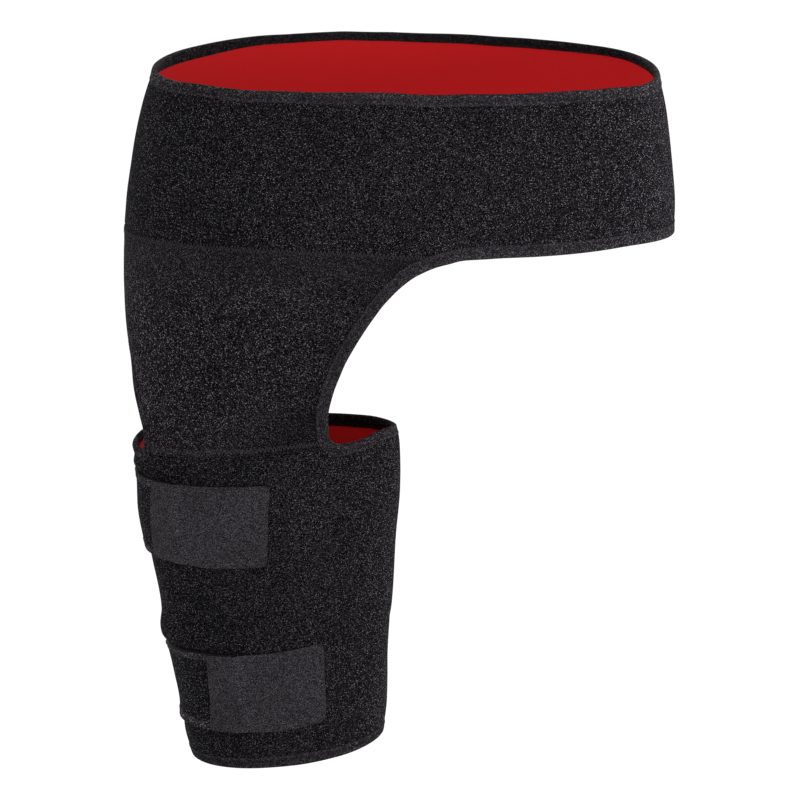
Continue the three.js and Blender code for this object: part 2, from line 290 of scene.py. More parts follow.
BELT_DROP = smooth_reader([
    # angle, how far the belt's bottom edge and its seam hang under the plain cut
    (0, 0), (25, -0.8), (45, -1.8), (65, -2), (80, -1.4),
    (92, 0.5), (99, 2), (103.5, 2.5), (106.7, 2.1), (109.3, 1.5),
    (112, 1.3), (120, 1.2), (130, 0.7), (137, 0.1), (145, -0.7),
    (149, -0.7), (161, -0.1), (175, 0.3), (190, 0), (280, 0),
    (360, 0),
])
TIP_DROP = 2.5


def belt_bottom(angle):
    """Height of the belt's bottom edge."""
    return BELT_BOTTOM - BELT_DROP(np.asarray(angle) % 360)[..., 0]


def wrap_top(angle):
    """Height of the wrap's top edge."""
    return WRAP_TOP + RIM(angle)[..., 0]


def wrap_foot(angle):
    """Height of the wrap's bottom edge."""
    return WRAP_BOTTOM - HEM_DROP(angle)[..., 0]


rim_rise = RIM(np.linspace(WRAP_START, WRAP_END, 99)).max()
print("the wrap's rim rises up to", rim_rise.round(1), "mm over its plain cut")

# %% [markdown]
# ## How a finish is built
# Every finish is a small node tree on one Principled shader. A helper adds a node, sets its sockets and
# links what it is given, so that each finish below reads as a recipe. The patterns are worked out in
# Object coordinates or in the cloth's own UV map, both in metres, so a scale of 800 is a 1.25 mm grain.

# %% Node helpers
def add_node(tree, kind, settings=None, **sockets):
    """Adds a node; sockets are given by name, with _ for a space, as values or as links."""
    node = tree.nodes.new("ShaderNode" + kind)
    for name, value in (settings or {}).items():
        setattr(node, name, value)
    for name, value in sockets.items():
        found = [s for s in node.inputs if s.name.replace(" ", "_") == name and s.enabled]
        if isinstance(value, bpy.types.NodeSocket):
            tree.links.new(value, found[0])
        else:
            found[0].default_value = value
    return node


def maths(tree, operation, *values, kind="Math"):
    """One step of arithmetic on numbers, or on colours with the kind VectorMath."""
    node = add_node(tree, kind, {"operation": operation})
    for socket, value in zip(node.inputs, values):
        if isinstance(value, bpy.types.NodeSocket):
            tree.links.new(value, socket)
        else:
            socket.default_value = value
    return node.outputs[0]


def ramp_node(tree, fac, stops):
    """A colour ramp with grey or coloured stops as (place, colour)."""
    node = add_node(tree, "ValToRGB", Fac=fac)
    elements = node.color_ramp.elements
    while len(elements) < len(stops):
        elements.new(0.5)
    for element, (place, colour) in zip(elements, stops):
        element.position = place
        element.color = (*colour, 1.0)
    return node.outputs["Color"]


def tinted(colour, value):
    """A tint at a brightness."""
    return tuple(c * value for c in colour)


def finish(name, **shader):
    """A material with its Principled shader set, and the tree to link a recipe into."""
    material = bpy.data.materials.new(name)
    material.use_nodes = True
    tree = material.node_tree
    skin = tree.nodes["Principled BSDF"]
    for socket, value in shader.items():
        skin.inputs[socket.replace("_", " ")].default_value = value
    return material, tree, skin


def relief(tree, skin, height, depth):
    """Bump of a given depth in metres from a height of 0 to 1."""
    bump = add_node(tree, "Bump", Strength=1.0, Distance=depth, Height=height)
    tree.links.new(bump.outputs["Normal"], skin.inputs["Normal"])


print("node helpers:", *(helper.__name__ for helper in (add_node, maths, ramp_node, finish, relief)))

# %% [markdown]
# ## Black looped pile
# Hook tabs grip the outside of the cloth, so it is covered with tiny nylon loops. Each loop catches the
# light in its own way, which reads as bright flecks on black. Modelling a million loops is too heavy.
# A flat cell pattern just under a millimetre wide gives every loop a bright crown, a dark surround and its
# own brightness, with only a few loops that really sparkle. Nylon pile is matt, so there is next to no
# gloss to grey the black. A broad noise keeps the cloth from looking printed.
# Each piece marks two numbers on its vertices. The first makes the pile lighter, or darker if it is below
# zero. On a pressed hem it is real, where flattened loops look lighter; on the belt's outer side, the
# panel, the hook tabs and the fold of the waist tape it is painted light and painted shade. The turn tells
# how far the cloth faces sideways, where a painted sheen lightens the pile and painted glints brighten the
# best loops.

# %% Pile helper
BLACK_TINT = (1.0, 0.905, 1.05)
CLOUD_SCALE, CLOUD_LEVELS = 26.0, ((0.3, 0.86), (0.7, 1.14))
NAP_AND_SHADING_WEIGHT, SIDE_SHEEN_WEIGHT = 1.5, 0.45


def greys(stops):
    """Stops of a grey ramp from pairs of place and level."""
    return [(place, (level,) * 3) for place, level in stops]


def times(tree, colour, *factors):
    """A colour times every factor, each a number or a colour."""
    for factor in factors:
        colour = maths(tree, "MULTIPLY", colour, factor, kind="VectorMath")
    return colour


def across_tape(tree, flat, levels):
    """Levels across a tape, from pairs of millimetres from its outer edge and level."""
    width = levels[-1][0]
    share = maths(tree, "DIVIDE", add_node(tree, "SeparateXYZ", Vector=flat).outputs["Y"], width * MM)
    return ramp_node(tree, share, greys([(far / width, level) for far, level in levels]))


def make_pile(name, cells, tones, crown, depth, folded=None, side_glint=1.0):
    """cells is the loops in a metre, tones the brightness from the dullest loop to the best, crown its
    falloff from the middle of a loop. folded gives the painted light and shade across a folded tape, and the
    last argument the strength of the painted glints on the best loops where the cloth faces to the side."""
    material, tree, skin = finish(name, Roughness=0.92, Specular_IOR_Level=0.03)
    flat = add_node(tree, "UVMap", {"uv_map": "cloth"}).outputs["UV"]
    flat_cells = {"voronoi_dimensions": "2D"}
    loops = add_node(tree, "TexVoronoi", flat_cells, Vector=flat, Scale=cells, Randomness=0.8)
    luck = add_node(tree, "SeparateColor", Color=loops.outputs["Color"]).outputs["Red"]
    steps = [(k / (len(tones) - 1), tinted(BLACK_TINT, tone)) for k, tone in enumerate(tones)]
    top = ramp_node(tree, loops.outputs["Distance"], greys(crown))
    place = add_node(tree, "TexCoord").outputs["Object"]
    cloud = add_node(tree, "TexNoise", Vector=place, Scale=CLOUD_SCALE, Detail=3.0, Roughness=0.6)
    shade = ramp_node(tree, cloud.outputs["Fac"], greys(CLOUD_LEVELS))
    colour = times(tree, ramp_node(tree, luck, steps), top, shade)
    marks = [add_node(tree, "Attribute", {"attribute_name": word}) for word in ("nap", "turn")]
    nap, turn = (found.outputs["Fac"] for found in marks)
    # Painted highlights: where the cloth turns to the side, the best loops get painted glints and the whole
    # pile a painted sheen.
    swing = maths(tree, "MULTIPLY_ADD", maths(tree, "POWER", luck, 6.0), 1.5 * side_glint, -0.5 * side_glint)
    gentle, steep = (maths(tree, "POWER", turn, power) for power in (2.0, 8.0))
    for amount, weight in ((nap, NAP_AND_SHADING_WEIGHT), (gentle, swing), (steep, SIDE_SHEEN_WEIGHT)):
        colour = times(tree, colour, maths(tree, "MULTIPLY_ADD", amount, weight, 1.0))
    if folded:
        colour = times(tree, colour, across_tape(tree, flat, folded))
    tree.links.new(colour, skin.inputs["Base Color"])
    grain = add_node(tree, "TexNoise", Vector=flat, Scale=cells * 1.8, Detail=2.0)
    relief(tree, skin, maths(tree, "SUBTRACT", grain.outputs["Fac"], loops.outputs["Distance"]), depth)
    return material


print("pile: the nap changes the black by", NAP_AND_SHADING_WEIGHT, "for each unit, a full turn by", SIDE_SHEEN_WEIGHT)

# %% [markdown]
# ## One pile for each cloth
# The belt sparkles most, the wrap is duller, the short pile of the panel is more even and the straps are
# worn. The hook tape is a grey field of small even hooks. All are the same recipe with tones of their own,
# from the dullest loop to the best.

# %% Pile finishes
LOOPS, HOOKS = 1400, 1300
LOOP_CROWN, SHORT_CROWN = ((0.1, 1.0), (0.45, 0.02)), ((0.1, 1.0), (0.55, 0.16))
SPARKLE_TONES = (0.001, 0.004, 0.009, 0.016, 0.023, 0.031, 0.041, 0.053, 0.071, 0.1, 0.27)
DULL_TONES = (0.001, 0.004, 0.009, 0.014, 0.02, 0.027, 0.035, 0.045, 0.059, 0.082, 0.19)
EVEN_TONES = (0.002, 0.007, 0.012, 0.019, 0.027, 0.037, 0.049, 0.063, 0.083, 0.12, 0.32)
WORN_TONES = [0.72 * tone for tone in SPARKLE_TONES]
HOOK_TONES = (0.017, 0.032, 0.047, 0.062, 0.079, 0.125)
pile_finish = make_pile("black_loop_pile", LOOPS, SPARKLE_TONES, LOOP_CROWN, 0.0004)
wrap_finish = make_pile("thigh_loop_pile", LOOPS, DULL_TONES, LOOP_CROWN, 0.0004)
panel_finish = make_pile("black_short_pile", LOOPS, EVEN_TONES, LOOP_CROWN, 0.0003)
strap_finish = make_pile("black_strap_cloth", LOOPS, WORN_TONES, LOOP_CROWN, 0.0003)
hook_finish = make_pile("grey_hook_tape", HOOKS, HOOK_TONES, SHORT_CROWN, 0.0003, side_glint=0.0)
for black in (pile_finish, wrap_finish, panel_finish, strap_finish, hook_finish):
    print("pile finish:", black.name)

# %% [markdown]
# ## Tape finishes
# Binding tape is a smoother cloth with short, even loops. Sewing presses it: its free edge stands up, the
# needle pulls in a groove beside that edge and the tape turns round a fold. A ramp across the tape paints
# its light and shade: a painted highlight on the raised edge and on the round fold, painted shade in the
# groove and on the inside. The tapes differ a little in brightness.

# %% Tape finishes
TAPE_TONES = (0.008, 0.013, 0.019, 0.026, 0.034, 0.046, 0.095)
TAPE_LOOKS = {
    # tape: brightness, outer reach, painted level between the groove and the fold
    "waist": (1.5, REACH, 0.82), "cut_out": (1.45, WIDE_REACH, 0.97), "thigh": (1.3, REACH, 0.88),
}


def tape_light_levels(reach, swell):
    """Millimetres from the outer edge and levels of painted light and shade: highlights on the raised edge and
    the fold, shade in the groove and on the inside.
    """
    leg = reach - TUCK
    return [(0.0, 0.8), (0.16 * leg, 1.02), (0.3 * leg, 0.92), (0.45 * leg, 0.72), (0.66 * leg, swell),
            (0.92 * leg, 1.08), (leg + 2.3, 1.08), (leg + 4.3, 0.45)]


def make_tape(place):
    """The finish of one tape, by its place on the brace."""
    bright, reach, swell = TAPE_LOOKS[place]
    tones = [bright * tone for tone in TAPE_TONES]
    return make_pile(f"black_{place}_tape", LOOPS, tones, SHORT_CROWN, 0.0002, tape_light_levels(reach, swell))


waist_tape, cut_tape_finish, thigh_tape = (make_tape(place) for place in TAPE_LOOKS)
print("tape finishes:", waist_tape.name, cut_tape_finish.name, thigh_tape.name)

# %% [markdown]
# ## Red lining
# The lining is a smooth red knit, so its pattern is two crossed waves along the UV map that each piece
# carries in metres, with only a trace of contrast. The waist's knit is painted a little lighter towards +X,
# painted light that keeps it an even red in the shade of the loop. The thigh's knit is a copy of its own,
# a touch greyer and with no lightening towards +X.

# %% Knit finishes
SWAY_SCALE, SWAY, FIBRE_SCALE, WEAVE_SHARE = 60.0, 5.0, 1300.0, 0.15


def make_knit(name, tint, tones, threads, depth, painted_light=0.0):
    """threads is the threads in a metre each way; tones are the valley, the mean and the crest; the last
    argument is how much lighter the knit is painted for each metre towards +X, as painted light."""
    material, tree, skin = finish(name, Roughness=0.8, Specular_IOR_Level=0.03)
    flat = add_node(tree, "UVMap", {"uv_map": "cloth"}).outputs["UV"]
    drift = add_node(tree, "TexNoise", Vector=flat, Scale=SWAY_SCALE)
    sway = maths(tree, "MULTIPLY", drift.outputs["Fac"], SWAY)
    parts = add_node(tree, "SeparateXYZ", Vector=flat)
    waves = []
    for axis in "XY":
        turn = maths(tree, "MULTIPLY_ADD", parts.outputs[axis], threads * math.tau, sway)
        waves.append(maths(tree, "SINE", turn))
    weave = maths(tree, "MULTIPLY", *waves)
    fibre = add_node(tree, "TexNoise", Vector=flat, Scale=FIBRE_SCALE, Detail=3.0, Roughness=0.7).outputs["Fac"]
    level = maths(tree, "MULTIPLY_ADD", weave, WEAVE_SHARE, fibre)
    spots = [(0.3 + 0.2 * k, tinted(tint, tone)) for k, tone in enumerate(tones)]
    place = add_node(tree, "SeparateXYZ", Vector=add_node(tree, "TexCoord").outputs["Object"])
    # Painted light: the knit is made lighter towards +X, where less light reaches the inside of the loop.
    painted_lightening = maths(tree, "MULTIPLY_ADD", place.outputs["X"], painted_light, 1.0)
    tree.links.new(times(tree, ramp_node(tree, level, spots), painted_lightening), skin.inputs["Base Color"])
    relief(tree, skin, level, depth)
    return material


RED_TINT, THIGH_RED_TINT = (1.0, 0.027, 0.03), (1.0, 0.04, 0.042)
RED_TONES = np.array((0.352, 0.367, 0.382))
KNIT_THREADS, KNIT_DEPTH = 700, 0.0001
lining_finish = make_knit("red_knit", RED_TINT, 1.18 * RED_TONES, KNIT_THREADS, KNIT_DEPTH, painted_light=1.15)
thigh_knit = make_knit("thigh_red_knit", THIGH_RED_TINT, 1.2 * RED_TONES, KNIT_THREADS, KNIT_DEPTH)
print("knit finishes:", lining_finish.name, thigh_knit.name)

# %% [markdown]
# ## Thread and cut edges
# Thread is twisted, which shows as a fine grain over a dark ground. The cut edge of the foam looks much the
# same, only darker, so both come from one recipe.

# %% Thread finishes
def make_thread(name, tones):
    """A fine grain between a dark and a lighter tone."""
    material, tree, skin = finish(name, Roughness=0.6, Specular_IOR_Level=0.1)
    place = add_node(tree, "TexCoord").outputs["Object"]
    twist = add_node(tree, "TexNoise", Vector=place, Scale=3000.0, Detail=1.0).outputs["Fac"]
    spots = [(0.35 + 0.3 * k, tinted(BLACK_TINT, tone)) for k, tone in enumerate(tones)]
    tree.links.new(ramp_node(tree, twist, spots), skin.inputs["Base Color"])
    relief(tree, skin, twist, 0.0001)
    return material


thread_finish = make_thread("black_thread", (0.014, 0.038))
edge_finish = make_thread("black_cut_edge", (0.004, 0.016))
print("thread finishes:", thread_finish.name, edge_finish.name)

# %% [markdown]
# ## From a flat grid to a piece
# A pattern piece starts flat, so each one starts as a grid. Every vertex of the grid knows its share along
# and up the piece. These helpers move the vertices, write the flat cut into a UV map in metres, mark
# numbers for the finish, and turn the result into an object that rides on the frame.

# %% Grid helpers
def grid_shares(bm, columns, rows):
    """A new grid in a bmesh, with the shares along and up of its vertices."""
    bmesh.ops.create_grid(bm, x_segments=columns, y_segments=rows, size=0.5)
    places = np.array([vert.co for vert in bm.verts]) + 0.5
    return places[:, 0], places[:, 1]


def put(bm, points):
    """Moves the vertices to points in millimetres."""
    for vert, point in zip(bm.verts, points * MM):
        vert.co = point


def write_uv(bm, u, v):
    """Gives each corner the flat place of its vertex, in metres."""
    layer = bm.loops.layers.uv.new("cloth")
    bm.verts.index_update()
    for face in bm.faces:
        for corner in face.loops:
            k = corner.vert.index
            corner[layer].uv = (u[k], v[k])


def mark(bm, name, values):
    """Writes a number on every vertex, for the finish to read."""
    layer = bm.verts.layers.float.new(name)
    for vert, value in zip(bm.verts, values):
        vert[layer] = value


def show(name, bm, material, body="root"):
    """Turns a bmesh into a smooth piece that rides on a body of the frame."""
    mesh = bpy.data.meshes.new(name)
    bm.to_mesh(mesh)
    bm.free()
    mesh.shade_smooth()
    mesh.materials.append(material)
    piece = bpy.data.objects.new(name, mesh)
    bpy.context.scene.collection.objects.link(piece)
    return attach(piece, body)


print("grid helpers:", *(helper.__name__ for helper in (grid_shares, put, write_uv, mark, show)))

# %% [markdown]
# ## Laying cloth on the form
# A placing function turns the shares of a grid into an angle, a height and a lift on the form. Solidify
# then gives the cloth its thickness inwards, so the grid itself stays the outer face. Its rim gets the
# finish of a cut edge, where the pile stops.

# %% Cloth helpers
HEM_FLATTENS = 0.8


def length_of(line):
    """Length of a line of points."""
    return np.linalg.norm(np.diff(line, axis=0), axis=1).sum()


def width_at(place, v):
    """Width of a piece in metres at a share of its height."""
    levels, share = np.linspace(0, 1, 25), np.linspace(0, 1, 99)
    widths = [length_of(spot(*place(share, np.full(99, level)))[0]) * MM for level in levels]
    return np.interp(v, levels, widths)


def thicken(piece, thickness, offset, edge=None):
    """Gives a piece its thickness; edge is the finish of its cut edges."""
    wall = piece.modifiers.new("thickness", "SOLIDIFY")
    wall.thickness, wall.offset = thickness * MM, offset
    if edge:
        piece.data.materials.append(edge)
        wall.material_offset_rim = 1


def soften(piece, width, segments):
    """Rounds the sharp edges of a piece."""
    soft = piece.modifiers.new("soft edges", "BEVEL")
    soft.width, soft.segments, soft.limit_method = width * MM, segments, "ANGLE"
    soft.angle_limit = math.radians(45)


def lay_cloth(name, material, columns, rows, place, thickness, closed=False, nap_of=None, edge=None):
    """Lays a piece of cloth; place(u, v) gives the angle, height and lift of its outer face, and the
    optional function of angle and share gives the mark for a pressed hem and for painted light and shade."""
    bm = bmesh.new()
    u, v = grid_shares(bm, columns, rows)
    points, _ = spot(*place(u, v))
    share, half = np.linspace(0, 1, 99), np.full(99, 0.5)
    width = length_of(spot(*place(share, half))[0]) * MM
    tall = length_of(spot(*place(half, share))[0]) * MM
    put(bm, points)
    write_uv(bm, (u - 0.5) * width_at(place, v), v * tall)
    angle = place(u, v)[0]
    nap = nap_of(angle, v) if nap_of else np.zeros(len(u))
    mark(bm, "nap", nap)
    mark(bm, "turn", np.abs(np.cos(np.radians(angle))) * (1 - HEM_FLATTENS * np.clip(nap, 0, 1)))
    if closed:
        bmesh.ops.remove_doubles(bm, verts=bm.verts, dist=1e-6)
    piece = show(name, bm, material)
    thicken(piece, thickness, -1.0, edge)
    print(f"{name}: {width:.3f} m along, {tall:.3f} m up, {len(piece.data.polygons)} faces")
    return piece, (round(tall, 3), round(width, 3))


waist_line = form_point(np.linspace(0, 360, 361), np.zeros(361))
print(f"once round the waist: {length_of(waist_line) * MM:.3f} m")

# %% [markdown]
# ## Waist belt
# The belt is a closed loop. Its grid is wrapped once round and the two ends are merged. The foam presses
# in just above the seam with the hip panel, where a shallow valley catches a thin shadow. A slow ripple
# of a few tenths of a millimetre keeps the wide cloth soft. Below the seam the lining laps behind the
# joint, so that no light comes through.

# %% Belt and its lining
SEAM_DIP, SEAM_SOFT, SEAM_LINE = 0.7, 1.4, 3.0
SEAM_GAP, LINING_LAP = 0.05, 1.2
PANEL_FRONT, PANEL_BACK = (98, 104), (278, 284)
RIPPLES = [
    # share, waves round the body, millimetres of height for a radian, start
    (0.6, 5, 31, 0.0), (0.4, 9, -19, 1.3),
]
WAVERS = [
    # millimetres, waves round the belt, start
    (0.35, 7, 1.0), (0.25, 11, 2.2),
]
BELT_SIDE_SHADE, DARK_SIDE = 0.17, (15, 45)


def ripple(angle, height, size=0.35):
    """Slow unevenness of soft cloth."""
    turn = np.radians(angle)
    return size * sum(share * np.sin(waves * turn + height / tall + start)
                      for share, waves, tall, start in RIPPLES)


def belt_top(angle):
    """The belt's top edge is cut and bound by hand, so it wavers a little."""
    waver = sum(size * np.sin(waves * np.radians(angle) + start) for size, waves, start in WAVERS)
    return BELT_TOP + BELT_RIM(angle)[..., 0] + waver


def seam_dip(distance):
    """How far the foam is pressed in at a distance from a seam."""
    return -SEAM_DIP * np.exp(-(distance / SEAM_SOFT) ** 2)


def belt_place(depth):
    """The placing function of the belt, or of its lining at a depth under the outer face."""
    def place(u, v):
        angle = 360 * u
        sewn = 1 - ramp(angle, *PANEL_FRONT) * (1 - ramp(angle, *PANEL_BACK))
        low = belt_bottom(angle) + TUCK * (1 - sewn) - (LINING_LAP * sewn if depth else 0)
        height = low + (belt_top(angle) - TUCK - low) * v
        lift = ripple(angle, height) * ramp(v, 0, 0.15) * (1 - ramp(v, 0.85, 1))
        return angle, height, lift + seam_dip(height - belt_bottom(angle) - SEAM_LINE) * sewn - depth
    return place


def belt_shading(angle, _):
    """Painted shade: the belt is darker on its outer side at -X, where less light falls."""
    from_side = np.abs((angle + 180) % 360 - 180)
    return BELT_SIDE_SHADE * ramp(from_side, *DARK_SIDE) - BELT_SIDE_SHADE


belt, belt_flat = lay_cloth("waist_belt_cloth", pile_finish, 360, 44, belt_place(0), CLOTH, closed=True,
                            nap_of=belt_shading, edge=edge_finish)
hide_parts("waist_belt")
waist_lining, waist_flat = lay_cloth(
    "waist_lining_cloth", lining_finish, 240, 24, belt_place(CLOTH + GAP), LINING, closed=True)
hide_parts("waist_lining")

# %% [markdown]
# ## Hip panel
# The panel is a shaped cut between a front edge, which curves round the groin, and a back edge behind the
# hip. The two edge tables have matching rows, so a share between them is a place on the cloth. Its bottom
# row dips into the seam with the wrap, and its sides stop short under the folded tape.

# %% Panel and its lining
SIDE_TUCK = 0.008
BACK_PAINTED_LIGHT, BACK_SIDE = 0.16, (20, 60)
FRONT_PAINTED_SHADE, FRONT_SIDE = 0.34, (72, 102)


def panel_place(depth):
    """The placing function of the panel, or of its lining at a depth under the outer face."""
    def place(u, v):
        row = PANEL_ROWS * (1 - v)
        front, back = front_at(row), back_at(row)
        share = SIDE_TUCK + (1 - 2 * SIDE_TUCK) * u
        angle = back[..., 0] + (front[..., 0] - back[..., 0]) * share
        height = back[..., 1] + (front[..., 1] - back[..., 1]) * share
        top, foot = (SEAM_GAP, 0) if depth == 0 else (LINING_LAP + GAP, LINING_LAP + GAP)
        seam = belt_bottom(angle) - BELT_BOTTOM + TIP_DROP * share - top
        height = height + seam * ramp(v, 0.85, 1) + foot * (1 - ramp(v, 0, 0.1))
        dip = seam_dip(height - WRAP_TOP)
        middle = ramp(u, 0, 0.2) * (1 - ramp(u, 0.8, 1)) * ramp(v, 0, 0.2) * (1 - ramp(v, 0.8, 1))
        return angle, height, dip + ripple(angle, height) * middle - depth
    return place


def panel_shading(angle, _):
    """Painted light towards the panel's back edge and painted shade towards its front edge."""
    return BACK_PAINTED_LIGHT * (1 - ramp(angle, *BACK_SIDE)) - FRONT_PAINTED_SHADE * ramp(angle, *FRONT_SIDE)


panel, _ = lay_cloth("hip_panel_cloth", panel_finish, 130, 110, panel_place(0), CLOTH,
                     nap_of=panel_shading, edge=edge_finish)
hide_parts("hip_panel")
hip_lining, _ = lay_cloth("hip_lining_cloth", lining_finish, 90, 70, panel_place(CLOTH + GAP), LINING)
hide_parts("hip_lining")

# %% [markdown]
# ## Thigh wrap
# The wrap goes once round the leg and then rises over its own start at the back, so its angle runs past a
# full turn and its lift eases up before the lap. The fold above the lower strap is in the form's rows.
# Above the upper strap the soft cloth bellies out into a small ear.

# %% Wrap and its lining
EAR_BULGE, EAR_ANGLE, EAR_WIDE, EAR_DOWN, EAR_TALL = 2.9, 5, 28, 11, 5
SEAM_LAP, SEAM_DEEPER = 0.3, 1.08
SEWN_FROM, SEWN_TO, LINING_SEWN_TO = (18, 26), (118, 126), (112, 119)
UPPER_LIGHTER, BESIDE_TAB_LIGHTER, BESIDE_TAB_ANGLE, BESIDE_TAB_WIDE = 0.04, 0.11, 106, 10


def ear_bulge(angle, height):
    """The soft cloth over the upper strap bellies out before the strap holds it."""
    aside, below = (angle - EAR_ANGLE) / EAR_WIDE, (height - WRAP_TOP + EAR_DOWN) / EAR_TALL
    return EAR_BULGE * np.exp(-(aside**2) - below**2)


def wrap_place(depth):
    """The placing function of the wrap, or of its lining at a depth under the outer face."""
    def place(u, v):
        angle = WRAP_START + (WRAP_END - TUCK - WRAP_START) * u
        sewn = ramp(angle, *SEWN_FROM) * (1 - ramp(angle, *(LINING_SEWN_TO if depth else SEWN_TO)))
        low = wrap_foot(angle) + TUCK
        high = wrap_top(angle) - TUCK * (1 - sewn) + (LINING_LAP if depth else SEAM_LAP) * sewn
        height = low + (high - low) * v
        calm = ramp(v, 0, 0.1) * (1 - ramp(v, 0.9, 1)) * ramp(angle, 0, 40)
        lift = wrap_rise(angle) + ripple(angle, height, 0.3) * calm + ear_bulge(angle, height)
        return angle, height, lift + SEAM_DEEPER * seam_dip(WRAP_TOP - height) * sewn - depth
    return place


def wrap_lightening(angle, v):
    """Lighter over the upper part of the wrap, and most beside the upper tab."""
    beside_tab = np.exp(-(((angle - BESIDE_TAB_ANGLE) / BESIDE_TAB_WIDE) ** 2))
    return ramp(v, 0.5, 0.8) * (UPPER_LIGHTER + BESIDE_TAB_LIGHTER * beside_tab)


wrap, wrap_flat = lay_cloth("thigh_wrap_cloth", wrap_finish, 260, 130, wrap_place(0), CLOTH,
                            nap_of=wrap_lightening, edge=edge_finish)
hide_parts("thigh_wrap")
thigh_lining, thigh_flat = lay_cloth(
    "thigh_lining_cloth", thigh_knit, 180, 50, wrap_place(CLOTH + GAP), LINING)
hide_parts("thigh_lining")

# %% [markdown]
# ## The fold of a binding tape
# Each raw edge is closed by tape folded over it: a leg outside, a round fold and a leg inside. The section
# below is that fold. The path of an edge is resampled at even steps, so that the tape keeps its grain.

# %% Tape section and path
LEG_STEPS, FOLD_STEPS = 6, 9
INNER_REACH, EAR_REACH, RIM_REACH = 6.0, 5.0, 8.5
TAPE_STEP = 3.0


def tape_section(inner_reach, outer_reach, ease):
    """Places round the folded tape, each its distance in from the edge and its depth under the outer face."""
    def leg(reach):
        distance = np.linspace(reach, TUCK, LEG_STEPS, endpoint=False)
        return distance, 0.1 + (ease - 0.1) * (1 - ramp(distance, TUCK, reach - 1.5))

    (outer, outer_rise), (inner, inner_rise) = leg(outer_reach), leg(inner_reach)
    fold = np.linspace(0, math.pi, FOLD_STEPS)
    over_in = TUCK - (TUCK + ease) * np.sin(fold)
    over_deep = WALL / 2 - (WALL / 2 + ease) * np.cos(fold)
    distance = np.concatenate([outer, over_in, inner[::-1]])
    depth = np.concatenate([-outer_rise, over_deep, WALL + inner_rise[::-1]])
    return distance, depth


def smooth_path(stations):
    """Stations of angle, height, lift, inner and outer reach, resampled along a smooth curve."""
    read = smooth_reader(numbered(stations))
    fine = np.linspace(0, len(stations) - 1, 40 * len(stations))
    line = spot(*np.moveaxis(read(fine)[:, :3], -1, 0))[0]
    along = np.concatenate([[0], np.cumsum(np.linalg.norm(np.diff(line, axis=0), axis=1))])
    even = np.linspace(0, along[-1], max(4, round(along[-1] / TAPE_STEP)) + 1)
    return read(np.interp(even, along, fine)), even


def inward_of(path, closed):
    """The way over the cloth from each station of an edge; the cloth is on the right of the way along."""
    points, normals = spot(*np.moveaxis(path[:, :3], -1, 0))
    if closed:
        points = np.vstack([points[-2:-1], points, points[1:2]])
        along = points[2:] - points[:-2]
    else:
        along = np.gradient(points, axis=0)
    return unit(np.cross(along, normals))


print("places round the fold:", len(tape_section(INNER_REACH, REACH, EASE)[0]))

# %% [markdown]
# ## Folding tape over an edge
# A grid is laid with its rows along the edge and its columns round the section, which follows the edge
# whatever way it turns, and Solidify gives the tape its thickness. A curve with a bevel would be the usual
# way, but it can't keep one leg on each face of the cloth.

# %% Tape helper
LOW_DARKENING, LOW_FROM = 0.13, (65, 110)
FOLD_SHADE_DEPTH = (0.1, 0.85)


def fold_tape(name, stations, material, closed=False, ease=EASE, fold_shade_of=None):
    """Folds tape over an edge and returns the piece, its flat size, its path and the ways in from it.
    Its last argument, a function of the angle, gives the painted shade on the inner half of the fold."""
    path, even = smooth_path(stations)
    inward = inward_of(path, closed)
    sections = np.array([tape_section(*reaches, ease) for reaches in path[:, 3:]])
    distance, depth = sections[len(path) // 2]
    bm = bmesh.new()
    u, v = grid_shares(bm, len(distance) - 1, len(path) - 1)
    column, row = np.rint(u * (len(distance) - 1)).astype(int), np.rint(v * (len(path) - 1)).astype(int)
    angle, height, lift = np.moveaxis(path[row, :3], -1, 0)
    there = step_over(angle, height, inward[row], sections[row, 0, column])
    points, _ = spot(*there, lift - sections[row, 1, column])
    put(bm, points)
    section = np.concatenate([[0], np.cumsum(np.hypot(np.diff(distance), np.diff(depth)))])
    write_uv(bm, even[row] * MM, section[column] * MM)
    # Tape that runs lower down is made darker.
    nap = -LOW_DARKENING * ramp(-height, *LOW_FROM)
    if fold_shade_of:
        nap -= fold_shade_of(angle) * ramp(sections[row, 1, column], *FOLD_SHADE_DEPTH)
    mark(bm, "nap", nap)
    mark(bm, "turn", np.abs(np.cos(np.radians(angle))))
    if closed:
        bmesh.ops.remove_doubles(bm, verts=bm.verts, dist=1e-6)
    bmesh.ops.reverse_faces(bm, faces=bm.faces)
    piece = show(name, bm, material)
    # The tape's thin rim takes the dark cut-edge finish: a real cut edge, which also paints a thin shadow line
    # along the tape's edge.
    thicken(piece, TAPE, 1.0, edge_finish)
    soften(piece, 0.15, 2)
    print(f"{name}: {even[-1] * MM:.3f} m of tape {section[-1]:.1f} mm wide")
    return piece, (round(section[-1] * MM, 4), round(even[-1] * MM, 3)), path, inward


def run(start, end, turn):
    """Angles from start to end, a turn apart."""
    return np.linspace(start, end, round(abs(end - start) / turn) + 1)


print("a tape has a row every", TAPE_STEP, "mm")

# %% [markdown]
# ## Tape on the belt's top
# This tape is one closed ring. It was sewn by hand, so its inner leg is not equally long all the way round.
# On the front the inner half of the fold carries painted shade, a thin painted shadow between the tape and the
# red.

# %% Waist tape
BELT_TURN = 7.2
FOLD_SHADE, FOLD_SHADE_FROM, FOLD_SHADE_TO = 0.42, (80, 92), (150, 165)
TOP_REACH = smooth_reader([
    # angle, reach of the waist tape's inner leg
    (0, 6.2), (30, 6), (196, 6), (206, 5.2), (218, 5.2), (230, 6),
    (308, 6), (320, 7.6), (332, 8.2), (345, 7.8), (360, 6.2),
])


def front_fold_shade(angle):
    """Painted shade on the inner half of the fold, on the front."""
    return FOLD_SHADE * ramp(angle, *FOLD_SHADE_FROM) * (1 - ramp(angle, *FOLD_SHADE_TO))


